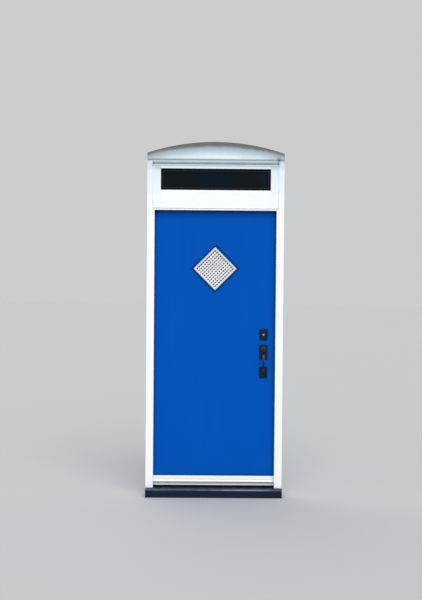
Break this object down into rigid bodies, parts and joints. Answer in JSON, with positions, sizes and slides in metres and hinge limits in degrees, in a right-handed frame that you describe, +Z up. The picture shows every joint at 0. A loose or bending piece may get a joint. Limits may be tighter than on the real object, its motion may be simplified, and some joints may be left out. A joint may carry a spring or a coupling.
{
  "type": "flush front door",
  "caption": "Flush timber front door with a diamond lattice light, hung in a frame with an arched head, a fixed fanlight, a moulded threshold and a sill.",
  "frame": {"origin": "on the underside of the sill, half way between the jambs and in line with their street face", "axes": "+X to the right seen from the street, +Y into the house, +Z up"},
  "size_m": [0.998, 0.203, 2.5911],
  "materials": {
    "white_paint": "brush-painted, eggshell, lightly weathered",
    "black_paint": "black paint, worn along the top arris",
    "blue_paint": "smooth satin paint",
    "bare_timber": "planed",
    "dark_glass": "clear glass before a dark room",
    "dark_bronze": "black-brown patina, rubbed on high spots",
    "satin_steel": "satin",
    "bright_brass": "worn bright by keys"
  },
  "bodies": {
    "frame": {"door_sill": "black_paint", "threshold": "white_paint", "hinge_jamb": "white_paint", "lock_jamb": "white_paint", "transom": "white_paint", "frame_head": "white_paint", "arched_head_board": "white_paint", "fanlight_left_stile": "white_paint", "fanlight_right_stile": "white_paint", "fanlight_bottom_rail": "white_paint", "fanlight_top_rail": "white_paint", "fanlight_glass": "dark_glass", "fanlight_beads": "white_paint", "deadbolt_strike": "satin_steel", "latch_strike": "satin_steel", "strike_screws": "satin_steel", "lower_hinge_frame_leaf": "satin_steel", "middle_hinge_frame_leaf": "satin_steel", "upper_hinge_frame_leaf": "satin_steel", "hinge_pins": "satin_steel", "hinge_frame_screws": "satin_steel"},
    "leaf": {"outer_skin": "blue_paint", "inner_skin": "blue_paint", "hinge_stile": "blue_paint", "lock_stile": "blue_paint", "top_rail": "blue_paint", "bottom_rail": "blue_paint", "lock_block": "bare_timber", "door_core": "bare_timber", "light_outer_beads": "white_paint", "light_inner_beads": "white_paint", "light_pane": "dark_glass", "rising_laths": "white_paint", "falling_laths": "white_paint", "lower_hinge_door_leaf": "satin_steel", "middle_hinge_door_leaf": "satin_steel", "upper_hinge_door_leaf": "satin_steel", "hinge_door_screws": "satin_steel", "deadbolt_plate": "dark_bronze", "lock_cylinder": "dark_bronze", "deadbolt_case": "satin_steel", "deadbolt_faceplate": "satin_steel", "thumb_turn_rose": "dark_bronze", "handle_upper_plate": "dark_bronze", "handle_lower_plate": "dark_bronze", "handle_grip": "dark_bronze", "thumb_pin": "satin_steel", "latch_case": "satin_steel", "latch_faceplate": "satin_steel", "knob_rose": "dark_bronze", "through_screws": "satin_steel", "faceplate_screws": "satin_steel"},
    "deadbolt": {"deadbolt": "satin_steel"},
    "key_plug": {"key_plug": "bright_brass"},
    "thumb_turn": {"thumb_turn": "dark_bronze", "deadbolt_crank": "satin_steel"},
    "latch_bolt": {"latch_bolt": "satin_steel"},
    "knob": {"door_knob": "dark_bronze", "latch_hub": "satin_steel"},
    "thumb_piece": {"thumb_piece": "dark_bronze"}
  },
  "joints": [
    {"name": "door_swing", "type": "hinge", "parent": "frame", "child": "leaf", "pos_m": [-0.4585, 0.1005, 1.11866], "axis": [0, 0, 1], "range_deg": [0, 95]},
    {"name": "thumb_turn_turn", "type": "hinge", "parent": "leaf", "child": "thumb_turn", "pos_m": [0.36, 0.094, 1.18866], "axis": [0, 1, 0], "range_deg": [0, 90]},
    {"name": "deadbolt_shoot", "type": "slide", "parent": "leaf", "child": "deadbolt", "axis": [1, 0, 0], "range_m": [0, 0.02]},
    {"name": "key_turn", "type": "hinge", "parent": "leaf", "child": "key_plug", "pos_m": [0.36, 0.043, 1.18866], "axis": [0, 1, 0], "range_deg": [0, 90]},
    {"name": "knob_turn", "type": "hinge", "parent": "leaf", "child": "knob", "pos_m": [0.36, 0.094, 1.06066], "axis": [0, 1, 0], "range_deg": [0, 50]},
    {"name": "latch_shoot", "type": "slide", "parent": "leaf", "child": "latch_bolt", "axis": [1, 0, 0], "range_m": [0, 0.012]},
    {"name": "thumb_press", "type": "hinge", "parent": "leaf", "child": "thumb_piece", "pos_m": [0.36, 0.0465, 1.07666], "axis": [-1, 0, 0], "range_deg": [0, 12]}
  ],
  "couplings": [
    {"joint": "deadbolt_shoot", "follows": "thumb_turn_turn", "m_per_rad": 0.012732},
    {"joint": "key_turn", "follows": "thumb_turn_turn", "ratio": 1},
    {"joint": "latch_shoot", "follows": "knob_turn", "m_per_rad": 0.01375},
    {"joint": "thumb_press", "follows": "knob_turn", "ratio": 0.24}
  ]
}
